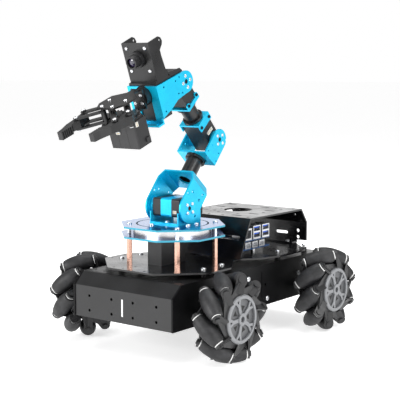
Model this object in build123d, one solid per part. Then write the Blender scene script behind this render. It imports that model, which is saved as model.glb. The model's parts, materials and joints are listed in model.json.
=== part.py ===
"""Mecanum wheel robot with a six-axis bus-servo arm.

Frame: millimetres, +Z up, the front of the robot faces -Y and +X is its left-to-right width.
The origin lies on the ground, midway between the four wheels.
Each arm link is modelled in its own joint frame and then placed at the stored pose.
"""
from build123d import *
from math import cos, pi, radians, sin, sqrt
import os

os.makedirs("parts", exist_ok=True)

# Chassis
BODY_LENGTH = 300.0
BODY_WIDTH = 139.4
FLOOR_Z = 37.5
KNEE_Z = 72.0
BODY_TOP_Z = 84.8
BEVEL_DEPTH = 14.0
SHEET = 1.5
SIDE_SHEET = 2.0
PANEL_HOLE_R = 1.6
PANEL_COLUMNS = (-47.0, -15.0, 15.0, 47.0)
PANEL_ROWS = (45.5, 61.5)
PANEL_SLOT = (54.0, 19.0, 1.2)

# Raised deck plate
DECK_TOP_Z = 92.5
DECK_SHEET = 2.0
DECK_HALF_WIDTH = 75.0
DECK_HALF_LENGTH = 137.0
DECK_CORNER = 43.0
DECK_SCREWS = ((58.0, -84.0), (58.0, -51.0), (58.0, 60.0), (58.0, 118.0))

# Wheels
WHEEL_R = 48.5
WHEELBASE = 191.2
WHEEL_X = 101.6
ROLLER_COUNT = 9
ROLLER_AXIS_R = 39.0
ROLLER_HALF = 17.1
ROLLER_END_R = 6.9
ROLLER_END_GAP = 1.2
WASHER_R = 5.0
PIN_R = 1.5
TAB_SHEET = 2.2
TAB_R = 5.5
TAB_WIDTH = 10.0
TAB_REACH = 15.0
SAW_PLATE_Z = 12.2
SAW_SHEET = 1.6
SAW_TOOTH = ((30.1, 28.2), (43.4, 19.1), (32.0, 49.0))
HUB_R = 25.8
HUB_OUT = 16.4
HUB_IN = -13.0
SHAFT_R = 3.0
RUNNING_GAP = 0.06

# Turret: pillars, octagonal plates and turntable
ARM_Y = -64.5
PILLAR_HALF = 33.9
PILLAR_HEIGHT = 30.0
PILLAR_FLATS = 5.5
SPACER_FLATS = 3.8
PLATE_SHEET = 2.0
PLATE_FLATS = 111.0
PLATE_GAP = 9.0
RACE_R = 44.0
TURNTABLE_R = 38.8
TURNTABLE_HOLE_R = 40.6

# Arm joints at the stored pose, as (y, z), and how far each link leans back from upright
SHOULDER = (-65.5, 153.7)
LOWER_LEAN = 40.5
LOWER_LENGTH = 95.0
UPPER_LEAN = -43.0
UPPER_LENGTH = 90.0
WRIST_PITCH = 20.5

# Servos
SERVO_LONG = 42.0
SERVO_THICK = 20.4
SERVO_END = 10.5
SMALL_SERVO_WIDE = 24.5
BIG_SERVO_WIDE = 37.0
BAND_WIDE = 15.0
SERVO_ROUND = 2.5
HORN_GAP = 0.6
HORN_SCREW_R = 6.4

# Sheet brackets of the arm
BRACKET_SHEET = 2.0
SHOULDER_HALF = 25.0
SHOULDER_TOP_HALF = 20.0
SHOULDER_RISE = 38.5
SHOULDER_FOLD = 29.0
SHOULDER_DEEP = 16.3
ELBOW_HALF = 20.3
ELBOW_DROP = 28.0
ELBOW_DEEP = 12.0
TUBE_R = 9.0
TUBE_WALL = 1.5
FLANGE_R = 11.8
FLANGE_SHEET = 3.0
FRAME_NEAR = 33.0
FRAME_FAR = 58.0
FRAME_DEEP = 12.0
LONG_SKIRT = 7.5
SHORT_SKIRT = 2.5

# Wrist bracket, roll servo, camera and gripper, as forward and up distances from the wrist pitch axis
WRIST_FACE = 49.5
WRIST_BOTTOM = -30.0
WRIST_WINDOW = 9.4
ROLL_UP = 2.5
ROLL_SERVO_BACK = 23.0
CAMERA_FACE = 44.0
CAMERA_HALF = 18.5
CAMERA_TOP = 59.0
CAMERA_UP = 41.5
GRIP_BACK = 57.0
GRIP_SERVO = (74.5, 95.5)
GRIP_SERVO_LOW = -38.5
GRIP_PLATE_HALF = 9.0
CRANK_PIVOT = (11.0, 90.0)
IDLER_PIVOT = (7.0, 107.0)
LINK_REACH = (19.5, 21.0)
LINK_LEVEL = 4.6
LINK_SHEET = 2.0
PIVOT_PIN_R = 2.0
FINGER_HALF_HIGH = 4.2
FINGER_TIP = (18.5, 160.0)
GEAR_TEETH = 16

# Bridge over the computer
BRIDGE_HALF = 54.0
BRIDGE_TOP_Z = 136.8
BRIDGE_SHEET = 2.0
BRIDGE_FRONT = (9.7, -11.0)
BRIDGE_REAR = (119.0, 131.5)
BRIDGE_REAR_KNEE_Z = 119.5

# Fasteners
SCREW_R = 1.45
SCREW_HOLE_R = 1.6
HEAD_R = 2.8
HEAD_H = 1.7
SMALL_SCREW_R = 1.0
SMALL_HEAD_R = 1.9
SMALL_HEAD_H = 1.2


def block(x, y, z):
    """Box between low and high coordinates given for each axis."""
    size = [high - low for low, high in (x, y, z)]
    middle = [(high + low) / 2 for low, high in (x, y, z)]
    return Pos(*middle) * Box(*size)


def rod(radius, start, end):
    """Round bar between two points."""
    a, b = Vector(*start), Vector(*end)
    return Plane(origin=(a + b) / 2, z_dir=b - a).location * Cylinder(radius, (b - a).length)


def rounded_block(x, y, z, radius, axis):
    """Box whose four edges along one axis are rounded."""
    body = block(x, y, z)
    return fillet(body.edges().filter_by(axis), radius)


def side_sheet(outline, x_low, thickness):
    """Flat sheet from an outline of (y, z) points, standing across the X axis."""
    return extrude(Plane.YZ.offset(x_low) * Polygon(*outline, align=None), thickness, (1, 0, 0))


def level_sheet(outline, z_low, thickness):
    """Flat sheet from an outline of (x, y) points, lying level."""
    return extrude(Plane.XY.offset(z_low) * Polygon(*outline, align=None), thickness, (0, 0, 1))


def mirrored(part):
    return mirror(part, about=Plane.YZ)


def slot_x(centre, length, radius, depth):
    """Cutter for a slot that runs along X through a level sheet."""
    x, y, z = centre
    half = length / 2 - radius
    bar = block((x - half, x + half), (y - radius, y + radius), (z - depth, z + depth))
    ends = [rod(radius, (x + s * half, y, z - depth), (x + s * half, y, z + depth)) for s in (-1, 1)]
    return bar + ends[0] + ends[1]


def screw(head, into, length, radius=SCREW_R, head_r=HEAD_R, head_h=HEAD_H):
    """Button-head socket screw: head sits at a point, shank runs along a direction."""
    base, way = Vector(*head), Vector(*into).normalized()
    top = base - way * head_h
    cap = rod(head_r, top, base)
    rim = cap.edges().filter_by(GeomType.CIRCLE).sort_by_distance(top)[0]
    cap = chamfer(rim, head_h * 0.35)
    shank = rod(radius, base, (base + way * length))
    socket = rod(radius * 0.75, (top - way), (top + way * head_h * 0.55))
    return cap + shank - socket


def small_screw(head, into, length=3.0):
    return screw(head, into, length, SMALL_SCREW_R, SMALL_HEAD_R, SMALL_HEAD_H)


def drill(point, way, length, radius=SCREW_HOLE_R):
    """Cutter that runs the same distance both ways from a point."""
    p, w = Vector(*point), Vector(*way).normalized() * length
    return rod(radius, (p - w), (p + w))


def save(name, *pieces):
    """Writes one node: one piece, or a group of separate solids."""
    solids = [s for piece in pieces for s in piece.solids()]
    shape = solids[0] if len(solids) == 1 else Compound(children=solids)
    export_step(shape, f"parts/{name}.step")


def corner_cut_outline(half_x, half_y, corner):
    """Rectangle about the origin with its four corners cut at 45 degrees."""
    return [
        (half_x, -half_y + corner), (half_x, half_y - corner), (half_x - corner, half_y),
        (-half_x + corner, half_y), (-half_x, half_y - corner), (-half_x, -half_y + corner),
        (-half_x + corner, -half_y), (half_x - corner, -half_y),
    ]


# ---------------------------------------------------------------- chassis

def chassis_tray():
    """Floor pan folded up into front and rear panels that bevel in towards the deck."""
    inner = BODY_WIDTH / 2 - SIDE_SHEET
    half = BODY_LENGTH / 2
    outline = [(-half, FLOOR_Z), (half, FLOOR_Z), (half, KNEE_Z), (half - BEVEL_DEPTH, BODY_TOP_Z),
               (-half + BEVEL_DEPTH, BODY_TOP_Z), (-half, KNEE_Z)]
    inset = [(-half + SHEET, FLOOR_Z + SHEET), (half - SHEET, FLOOR_Z + SHEET),
             (half - SHEET, KNEE_Z - 0.6), (half - BEVEL_DEPTH - SHEET * 1.5, BODY_TOP_Z + 1),
             (-half + BEVEL_DEPTH + SHEET * 1.5, BODY_TOP_Z + 1), (-half + SHEET, KNEE_Z - 0.6)]
    tray = side_sheet(outline, -inner, 2 * inner) - side_sheet(inset, -inner - 1, 2 * inner + 2)
    for x in PANEL_COLUMNS:
        for z in PANEL_ROWS:
            tray -= rod(PANEL_HOLE_R, (x, -half - 5, z), (x, half + 5, z))
    slot_z, slot_long, slot_r = PANEL_SLOT
    tray -= block((-slot_r, slot_r), (-half - 5, -half + 5),
                  (slot_z - slot_long / 2, slot_z + slot_long / 2))
    return tray


def side_plate():
    """Right-hand side wall with the motor shaft holes and the service holes."""
    outer = BODY_WIDTH / 2
    half = BODY_LENGTH / 2 + 1.0
    outline = [(-half, FLOOR_Z), (half, FLOOR_Z), (half, KNEE_Z), (half - BEVEL_DEPTH - 1, BODY_TOP_Z),
               (-half + BEVEL_DEPTH + 1, BODY_TOP_Z), (-half, KNEE_Z)]
    plate = side_sheet(outline, outer - SIDE_SHEET, SIDE_SHEET)
    for y in (-WHEELBASE / 2, WHEELBASE / 2):
        plate -= drill((outer, y, WHEEL_R), (1, 0, 0), 5, 7.0)
        for dy in (-9.0, 9.0):
            plate -= drill((outer, y + dy, WHEEL_R + 16), (1, 0, 0), 5)
    plate -= drill((outer, 17.6, 61.3), (1, 0, 0), 5)
    plate -= drill((outer, 20.8, 45.0), (1, 0, 0), 5)
    plate -= drill((outer, -17.5, 73.0), (1, 0, 0), 5)
    return plate - block((outer - 0.5, outer + 1), (9.0, 9.8), (47.0, 77.0))


def body_lid():
    """Flat sheet that closes the chassis between the bevels."""
    inner = BODY_WIDTH / 2 - SIDE_SHEET
    half = BODY_LENGTH / 2 - BEVEL_DEPTH - 2 * SHEET
    lid = block((-inner, inner), (-half, half), (BODY_TOP_Z - SHEET, BODY_TOP_Z))
    for x in (-60.0, -48.0, 48.0, 60.0):
        lid -= drill((x, -125.0, BODY_TOP_Z), (0, 0, 1), 5, 1.2)
    return lid - block((-12, 12), (-14, 14), (BODY_TOP_Z - 5, BODY_TOP_Z + 5))


def deck_outline():
    """Octagonal deck with a waist between the wheels on each side."""
    w, l, c = DECK_HALF_WIDTH, DECK_HALF_LENGTH, DECK_CORNER
    right = [(w - c, -l), (w, -l + c), (w, -57), (52, -20), (52, -6), (67, 12), (w, 40),
             (w, l - c), (w - c, l)]
    left = [(-x, y) for x, y in reversed(right)]
    return right + left


def deck_plate():
    """Raised deck that carries the arm in front and the computer behind."""
    plate = level_sheet(deck_outline(), DECK_TOP_Z - DECK_SHEET, DECK_SHEET)
    holes = [(15, -131), (-15, -131), (10, -116.5), (-10, -116.5), (69, -88), (-69, -88),
             (70, -66), (-70, -66), (28, -131), (-28, -131), (66, 104), (-66, 104)]
    for x, y in holes:
        plate -= drill((x, y, DECK_TOP_Z), (0, 0, 1), 5, 1.3)
    for x, y in DECK_SCREWS:
        for s in (-1, 1):
            plate -= drill((s * x, y, DECK_TOP_Z), (0, 0, 1), 5)
    for x, y in pillar_spots():
        plate -= drill((x, y, DECK_TOP_Z), (0, 0, 1), 5)
    for x, y in board_spots() + bridge_feet():
        plate -= drill((x, y, DECK_TOP_Z), (0, 0, 1), 5)
    return plate - block((-14, 14), (-16, -2), (DECK_TOP_Z - 5, DECK_TOP_Z + 5))


def pillar_spots():
    return [(i * PILLAR_HALF, ARM_Y + j * PILLAR_HALF) for i in (-1, 1) for j in (-1, 1)]


def board_spots():
    """Corner holes of the computer board, a rectangle of 58 by 49."""
    return [(x, y) for x in (-32.0, 26.0) for y in (6.5, 55.5)]


def bridge_feet():
    return [(x, y) for x in (-30.0, 30.0) for y in (-4.0, 125.0)]


def deck_spacers():
    """Short round spacers that hold the deck above the lid."""
    low, high = BODY_TOP_Z, DECK_TOP_Z - DECK_SHEET
    return [
        rod(3.5, (s * x, y, low), (s * x, y, high)) - drill((s * x, y, low), (0, 0, 1), 20)
        for x, y in DECK_SCREWS for s in (-1, 1)
    ]


def body_screws():
    """Screws of the deck, the side walls, the bridge feet and the upper bearing plate."""
    pieces = [screw((x, y, TURRET_TOP_Z), (0, 0, -1), 1.9) for x, y in pillar_spots()]
    for x, y in DECK_SCREWS:
        pieces += [screw((s * x, y, DECK_TOP_Z), (0, 0, -1), 6.0) for s in (-1, 1)]
    outer = BODY_WIDTH / 2
    for y, z in ((20.8, 45.0), (-17.5, 73.0)):
        pieces += [screw((s * outer, y, z), (-s, 0, 0), 1.9) for s in (-1, 1)]
    for x, y in bridge_feet():
        pieces.append(screw((x, y, DECK_TOP_Z + BRIDGE_SHEET), (0, 0, -1), 3.6))
    for y in (-WHEELBASE / 2, WHEELBASE / 2):
        for dy in (-9.0, 9.0):
            for s in (-1, 1):
                pieces.append(screw((s * outer, y + dy, WHEEL_R + 16), (-s, 0, 0), 1.9))
    return pieces


# ---------------------------------------------------------------- drive

def gearmotor(y, side):
    """Gearmotor: gearbox with an offset shaft bore, motor can and encoder cap, drawn for +X."""
    z = WHEEL_R + 4.0
    face = BODY_WIDTH / 2 - SIDE_SHEET - 2.0
    gearbox = rod(12.5, (face - 22, y, z), (face, y, z))
    gearbox -= rod(SHAFT_R + RUNNING_GAP, (face - 10, y, WHEEL_R), (face + 1, y, WHEEL_R))
    can = rod(12.0, (face - 50, y, z), (face - 22, y, z))
    encoder = rod(10.5, (face - 57, y, z), (face - 50, y, z))
    motor = gearbox + can + encoder
    return motor if side > 0 else mirrored(motor)


def motor_bracket(y, side):
    """Folded bracket: upright against the side wall, foot on the floor pan."""
    face = BODY_WIDTH / 2 - SIDE_SHEET
    upright = block((face - 2, face), (y - 17, y + 17), (FLOOR_Z + SHEET, WHEEL_R + 21))
    foot = block((face - 26, face), (y - 17, y - 13.5), (FLOOR_Z + SHEET, FLOOR_Z + SHEET + 2))
    foot += block((face - 26, face), (y + 13.5, y + 17), (FLOOR_Z + SHEET, FLOOR_Z + SHEET + 2))
    piece = upright + foot - rod(5.5, (face - 5, y, WHEEL_R), (face + 5, y, WHEEL_R))
    return piece if side > 0 else mirrored(piece)


def roller_frame(index, hand):
    """Frame of one roller: local Z along the roller, local X straight out from the wheel axis."""
    turn = 360.0 / ROLLER_COUNT * index
    return Rot(0, 0, turn) * Pos(ROLLER_AXIS_R, 0, 0) * Rot(hand * 45, 0, 0)


def roller():
    """Barrel that bulges out to the wheel's outer circle and tapers towards both ends."""
    middle, end = WHEEL_R - ROLLER_AXIS_R, ROLLER_END_R
    h = ROLLER_HALF
    curve = ThreePointArc((end, -h + 1), (middle, 0), (end, h - 1))
    rest = Polyline((end, h - 1), (end - 1.2, h), (PIN_R, h), (PIN_R, -h), (end - 1.2, -h), (end, -h + 1))
    profile = make_face([curve, rest])
    return revolve(Plane.XZ * profile, Axis.Z)


def hub_tab():
    """Arm that holds one roller end: square to the roller and round at the pin."""
    low = ROLLER_HALF + ROLLER_END_GAP
    arm = block((-TAB_REACH, 0), (-TAB_WIDTH / 2, TAB_WIDTH / 2), (low, low + TAB_SHEET))
    arm += rod(TAB_R, (0, 0, low), (0, 0, low + TAB_SHEET))
    return arm - drill((0, 0, low), (0, 0, 1), 20, PIN_R)


def roller_pin():
    """Steel pin through roller and both arms, with a washer and a cap at each end."""
    low = ROLLER_HALF + ROLLER_END_GAP
    reach = low + TAB_SHEET
    pin = rod(PIN_R, (0, 0, -reach), (0, 0, reach))
    for s in (-1, 1):
        pin += rod(WASHER_R, (0, 0, s * (ROLLER_HALF + 0.15)), (0, 0, s * low))
        pin += rod(3.0, (0, 0, s * reach), (0, 0, s * (reach + 1.6)))
    return pin


def saw_outline(hand):
    """Side plate of the wheel: a tooth behind every roller end that slopes down to the next roller."""
    corners = []
    for i in range(ROLLER_COUNT):
        for radius, angle in SAW_TOOTH:
            a = -hand * radians(360.0 / ROLLER_COUNT * i + angle)
            corners.append((radius * cos(a), radius * sin(a)))
    return corners


def spoke(angle):
    """Y-shaped spoke between the boss and the rim of the hub."""
    low, high = HUB_OUT - 5.0, HUB_OUT - 0.8
    stem = block((6, 15.5), (-2.0, 2.0), (low, high))
    fork = [Pos(14.2, 0, 0) * Rot(0, 0, s * 27) * block((0, 10.0), (-1.4, 1.4), (low, high)) for s in (-1, 1)]
    return Rot(0, 0, angle) * (stem + fork[0] + fork[1])


def wheel_hub(hand):
    """Hub of one wheel about local Z, outer face at +Z: drum, five forked spokes, arms and shaft."""
    drum = rod(HUB_R, (0, 0, HUB_IN), (0, 0, HUB_OUT))
    drum = chamfer(drum.edges().filter_by(GeomType.CIRCLE).sort_by(Axis.Z)[-1], 1.0)
    drum -= rod(21.8, (0, 0, HUB_OUT - 5.0), (0, 0, HUB_OUT + 1)) - rod(6.5, (0, 0, 0), (0, 0, HUB_OUT + 2))
    for i in range(5):
        drum += spoke(72 * i + 56)
    drum -= rod(3.2, (0, 0, HUB_OUT - 3), (0, 0, HUB_OUT + 1))
    floor = HUB_OUT - 10.0
    for i in range(5):
        drum -= Rot(0, 0, 72 * i + 56) * level_sheet([(17.2, 0), (21.2, -2.0), (21.2, 2.0)], floor, 6)
        drum -= Rot(0, 0, 72 * i + 20) * level_sheet([(8.6, 0), (13.4, -2.6), (13.4, 2.6)], floor, 6)
    for flip in (0, 180):
        drum += Rot(flip, 0, 0) * level_sheet(saw_outline(hand), SAW_PLATE_Z, SAW_SHEET)
        for i in range(ROLLER_COUNT):
            drum += roller_frame(i, hand) * Rot(flip, 0, 0) * hub_tab()
    shaft_in = -(WHEEL_X - (BODY_WIDTH / 2 - SIDE_SHEET - 2.0 - 9.0))
    coupling = rod(6.0, (0, 0, -(WHEEL_X - BODY_WIDTH / 2 - 3.0)), (0, 0, HUB_IN))
    return drum + coupling + rod(SHAFT_R, (0, 0, shaft_in), (0, 0, HUB_IN))


def wheel_parts(side, y, name):
    """Writes the hub and the rollers of one wheel."""
    hand = side * (-1 if y < 0 else 1)
    place = Pos(side * WHEEL_X, y, WHEEL_R) * Rot(0, 90 * side, 0) * Rot(0, 0, 90 - 90 * side)
    pins = [place * roller_frame(i, hand) * roller_pin() for i in range(ROLLER_COUNT)]
    rollers = [place * roller_frame(i, hand) * roller() for i in range(ROLLER_COUNT)]
    save(f"wheel_hub_{name}", place * wheel_hub(hand), *pins)
    save(f"wheel_rollers_{name}", *rollers)


# ---------------------------------------------------------------- turret

def octagon(flats):
    corner = flats / 2 * (2 - sqrt(2))
    return [(x, ARM_Y + y) for x, y in corner_cut_outline(flats / 2, flats / 2, corner)]


def pillar(x, y, low, high, flats):
    hexagon = RegularPolygon(flats / sqrt(3), 6)
    return extrude(Plane.XY.offset(low) * Pos(x, y) * hexagon, high - low)


LOWER_PLATE_Z = DECK_TOP_Z + PILLAR_HEIGHT
UPPER_PLATE_Z = LOWER_PLATE_Z + PLATE_SHEET + PLATE_GAP
TURRET_TOP_Z = UPPER_PLATE_Z + PLATE_SHEET


def lower_bearing_plate():
    plate = level_sheet(octagon(PLATE_FLATS), LOWER_PLATE_Z, PLATE_SHEET)
    for x, y in pillar_spots():
        plate -= drill((x, y, LOWER_PLATE_Z), (0, 0, 1), 9)
    return plate - drill((0, ARM_Y, LOWER_PLATE_Z), (0, 0, 1), 9, 12.0)


def upper_bearing_plate():
    plate = level_sheet(octagon(PLATE_FLATS), UPPER_PLATE_Z, PLATE_SHEET)
    for x, y in pillar_spots():
        plate -= drill((x, y, UPPER_PLATE_Z), (0, 0, 1), 9)
    return plate - drill((0, ARM_Y, UPPER_PLATE_Z), (0, 0, 1), 9, TURNTABLE_HOLE_R)


def bearing_ring():
    low, high = LOWER_PLATE_Z + PLATE_SHEET, UPPER_PLATE_Z
    return rod(RACE_R, (0, ARM_Y, low), (0, ARM_Y, high)) - rod(
        TURNTABLE_HOLE_R, (0, ARM_Y, low - 1), (0, ARM_Y, high + 1))


def turntable():
    """Disc flush with the upper plate, on a boss that turns inside the bearing ring."""
    disc = rod(TURNTABLE_R, (0, ARM_Y, UPPER_PLATE_Z), (0, ARM_Y, TURRET_TOP_Z))
    disc += rod(TURNTABLE_R - 1.5, (0, ARM_Y, LOWER_PLATE_Z + PLATE_SHEET + 0.6), (0, ARM_Y, UPPER_PLATE_Z))
    for x, y in turret_screw_spots():
        disc -= drill((x, y, TURRET_TOP_Z), (0, 0, 1), 4)
    return disc - drill((0, ARM_Y, LOWER_PLATE_Z), (0, 0, 1), 8, SHAFT_R + RUNNING_GAP)


def turret_screw_spots():
    """Four turntable screws outside the tray."""
    return [(28.5 * cos(radians(a)), ARM_Y + 28.5 * sin(radians(a))) for a in (-105, -15, 15, 165)]


def base_servo():
    """Servo that turns the turret: it stands on the deck under the plates, shaft upwards."""
    body = rounded_block(
        (-SERVO_THICK / 2, SERVO_THICK / 2),
        (ARM_Y - SERVO_LONG + SERVO_END, ARM_Y + SERVO_END),
        (DECK_TOP_Z, LOWER_PLATE_Z), 1.2, Axis.Z)
    return body + rod(SHAFT_R, (0, ARM_Y, LOWER_PLATE_Z), (0, ARM_Y, LOWER_PLATE_Z + 7))


def shoulder_tray():
    """Channel screwed to the turntable that holds the shoulder servo between its walls."""
    y0, y1 = SHOULDER[0] - 14.0, SHOULDER[0] + 26.0
    half = BIG_SERVO_WIDE / 2 + 0.1
    tray = block((-half - 1.5, half + 1.5), (y0, y1), (TURRET_TOP_Z, TURRET_TOP_Z + 2))
    for s in (-1, 1):
        tray += block(sorted((s * half, s * (half + 1.5))), (y0, y1), (TURRET_TOP_Z, SHOULDER[1] - 4.5))
    tray -= drill((0, *SHOULDER), (1, 0, 0), 60, 12.5)
    for y in (y0 + 6, y1 - 6):
        tray -= drill((0, y, TURRET_TOP_Z), (0, 0, 1), 5)
    return tray


def servo_body(wide):
    """Servo case in its joint frame: output axis along X, long side towards +Z."""
    body = rounded_block((-wide / 2, wide / 2), (-SERVO_THICK / 2, SERVO_THICK / 2),
                         (-SERVO_END, SERVO_LONG - SERVO_END), SERVO_ROUND, Axis.X)
    core = rod(20, (-wide / 2 + 4, 0, 0), (wide / 2 - 4, 0, 0))
    return body - (drill((0, 0, 0), (1, 0, 0), wide, SHAFT_R + RUNNING_GAP) - core)


def horn(inner, outer, radius):
    """Output horn on the right: disc against the bracket, stub in the servo, four tapped holes."""
    disc = rod(radius, (inner + HORN_GAP, 0, 0), (outer, 0, 0))
    disc += rod(SHAFT_R, (inner - 3.5, 0, 0), (inner + HORN_GAP, 0, 0))
    for y, z in horn_spots():
        disc -= drill((outer, y, z), (1, 0, 0), 3.4, SMALL_SCREW_R)
    return disc


def horn_spots(turn=0):
    """Places of the four screws of an output horn."""
    angles = [radians(turn + a) for a in (0, 90, 180, 270)]
    return [(HORN_SCREW_R * cos(a), HORN_SCREW_R * sin(a)) for a in angles]


def both_sides(piece):
    return [piece, mirrored(piece)]


def lower_frame():
    return Pos(0, *SHOULDER) * Rot(-LOWER_LEAN, 0, 0)


def elbow_point():
    a = radians(LOWER_LEAN)
    return SHOULDER[0] + LOWER_LENGTH * sin(a), SHOULDER[1] + LOWER_LENGTH * cos(a)


def wrist_point():
    a = radians(UPPER_LEAN)
    y, z = elbow_point()
    return y + UPPER_LENGTH * sin(a), z + UPPER_LENGTH * cos(a)


def upper_frame():
    return Pos(0, *elbow_point()) * Rot(-UPPER_LEAN, 0, 0)


def wrist_frame():
    return Pos(0, *wrist_point()) * Rot(WRIST_PITCH, 0, 0)


def pivot_holes(x):
    """Centre bore and four screw holes of a bracket cheek."""
    cut = drill((x, 0, 0), (1, 0, 0), 5, 2.6)
    for y, z in horn_spots():
        cut += drill((x, y, z), (1, 0, 0), 5, SMALL_SCREW_R + 0.1)
    return cut


def shoulder_bracket():
    """Half-octagon bracket: two round-ended cheeks, folds at 45 degrees and a top plate."""
    t, d = BRACKET_SHEET, SHOULDER_DEEP
    outer, top, fold, rise = SHOULDER_HALF, SHOULDER_TOP_HALF, SHOULDER_FOLD, SHOULDER_RISE
    cheek = block((outer - t, outer), (-d, d), (0, fold)) + rod(d, (outer - t, 0, 0), (outer, 0, 0))
    section = Polygon((outer - t, fold), (outer, fold), (top, rise), (top - t * 0.6, rise - t), align=None)
    slope = extrude(Plane.XZ.offset(d) * section, 2 * d, (0, 1, 0))
    crown = block((0, top), (-d, d), (rise - t, rise))
    half = cheek + slope + crown
    for y, z in ((-7, 17.5), (8, 16.5), (13, -1), (-12.5, 12), (10, 25)):
        half -= drill((outer, y, z), (1, 0, 0), 4, 1.6)
    half -= pivot_holes(outer)
    whole = half + mirrored(half)
    whole -= drill((0, 0, rise), (0, 0, 1), 5, TUBE_R - TUBE_WALL)
    for x, y in flange_spots():
        whole -= drill((x, y, rise), (0, 0, 1), 5, SMALL_SCREW_R + 0.1)
    return whole


def flange_spots():
    return [(10.2 * cos(radians(a)), 10.2 * sin(radians(a))) for a in (45, 135, 225, 315)]


def arm_tube(low, high):
    """Round tube with a screwed flange at each end."""
    bore = TUBE_R - TUBE_WALL
    tube = rod(TUBE_R, (0, 0, low), (0, 0, high)) - rod(bore, (0, 0, low - 1), (0, 0, high + 1))
    for z0, z1 in ((low, low + FLANGE_SHEET), (high - FLANGE_SHEET, high)):
        tube += rod(FLANGE_R, (0, 0, z0), (0, 0, z1)) - rod(bore, (0, 0, z0 - 1), (0, 0, z1 + 1))
    for x, y in flange_spots():
        tube -= drill((x, y, low), (0, 0, 1), 200, SMALL_SCREW_R)
    return tube


def elbow_bracket():
    """U bracket that carries the elbow: cheeks up to the pivot, plate across the bottom."""
    t, d = BRACKET_SHEET, ELBOW_DEEP
    outer = ELBOW_HALF
    half = block((outer - t, outer), (-d, d), (-ELBOW_DROP, 0)) + rod(d, (outer - t, 0, 0), (outer, 0, 0))
    half += block((0, outer), (-d, d), (-ELBOW_DROP, -ELBOW_DROP + t))
    for y, z in ((-7, 9.5), (9.8, 7), (-7, -13.5), (-8.9, -22.4), (8.4, -13.5), (10, -23)):
        half -= drill((outer, y, z), (1, 0, 0), 4, 1.1)
    half -= pivot_holes(outer)
    whole = half + mirrored(half) - drill((0, 0, -ELBOW_DROP), (0, 0, 1), 5, TUBE_R - TUBE_WALL)
    for x, y in flange_spots():
        if abs(y) < d - 2:
            whole -= drill((x, y, -ELBOW_DROP), (0, 0, 1), 5, SMALL_SCREW_R + 0.1)
    return whole


def servo_frame(face, way, skirt):
    """Plate across the end of a servo with skirts screwed to its sides; way is +1 for a tube beyond it."""
    t, d = BRACKET_SHEET, FRAME_DEEP
    half = SMALL_SERVO_WIDE / 2
    back = face - way * t
    plate = block((-half - 1.5, half + 1.5), (-d, d), sorted((back, face)))
    for s in (-1, 1):
        x = sorted((s * half, s * (half + 1.5)))
        plate += block(x, (-d, d), sorted((back, back - way * skirt)))
        for y in (-9.0, 9.0):
            plate += rod(3.0, (x[0], y, back - way * 3.5), (x[1], y, back - way * 3.5))
            plate -= drill((x[0], y, back - way * 3.5), (1, 0, 0), 5, SMALL_SCREW_R + 0.1)
    plate -= drill((0, 0, face), (0, 0, 1), 5, 4.0)
    for x, y in flange_spots():
        plate -= drill((x, y, face), (0, 0, 1), 5, SMALL_SCREW_R + 0.1)
    return plate


def frame_screws(face, way):
    """Screws through the ears of a servo frame."""
    x = SMALL_SERVO_WIDE / 2 + 1.5
    z = face - way * (BRACKET_SHEET + 3.5)
    return [small_screw((s * x, y, z), (-s, 0, 0), 1.4) for s in (-1, 1) for y in (-9.0, 9.0)]


def wrist_bracket():
    """Bracket that pitches at the wrist: cheeks that narrow to the pivot, and a deep front plate."""
    t, outer = BRACKET_SHEET, ELBOW_HALF
    f = WRIST_FACE
    cheek = side_sheet([(0, 12), (-f, 13), (-f, -23), (-33, -18.5), (-20, -13.2), (-4, -12), (0, -12)],
                       outer - t, t)
    half = cheek + rod(12, (outer - t, 0, 0), (outer, 0, 0))
    half += block((0, outer), (-f, -f + t), (-23, 13)) + block((0, 18), (-f, -f + t), (WRIST_BOTTOM, -22))
    half += block((0, 18), (-f - 8, -f + t), (WRIST_BOTTOM, WRIST_BOTTOM + t))
    for y, z in ((-10, 9), (-17, 7), (-16.5, -7.5), (-10, -9), (-43, -17.5), (-38, 8)):
        half -= drill((outer, y, z), (1, 0, 0), 4, 1.1)
    half -= drill((14, -f - 5, WRIST_BOTTOM), (0, 0, 1), 4, 1.6)
    half -= pivot_holes(outer)
    whole = half + mirrored(half)
    whole -= block((-WRIST_WINDOW, WRIST_WINDOW), (-f - 1, -f + t + 1), (WRIST_BOTTOM + 2 * t, 0))
    return whole - drill((0, -f, ROLL_UP), (0, 1, 0), 5, 11.2)


def roll_servo():
    """Servo behind the wrist plate, shaft forwards."""
    y0, y1 = -WRIST_FACE + BRACKET_SHEET, -ROLL_SERVO_BACK
    body = rounded_block((-SERVO_THICK / 2, SERVO_THICK / 2), (y0, y1),
                         (ROLL_UP + SERVO_END - SERVO_LONG, ROLL_UP + SERVO_END), 1.0, Axis.Y)
    return body + rod(SHAFT_R, (0, y0, ROLL_UP), (0, y0 - 6, ROLL_UP))


def roll_horn():
    """Round horn in front of the wrist plate that carries the gripper."""
    y0, y1 = -WRIST_FACE + BRACKET_SHEET - 0.6, -GRIP_BACK
    disc = rod(10.6, (0, y0, ROLL_UP), (0, y1, ROLL_UP))
    for x, z in horn_spots(45):
        disc -= drill((x, y1, z + ROLL_UP), (0, 1, 0), 4, SMALL_SCREW_R)
    return disc - rod(SHAFT_R + RUNNING_GAP, (0, y0 + 1, ROLL_UP), (0, y0 - 6.5, ROLL_UP))


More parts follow.
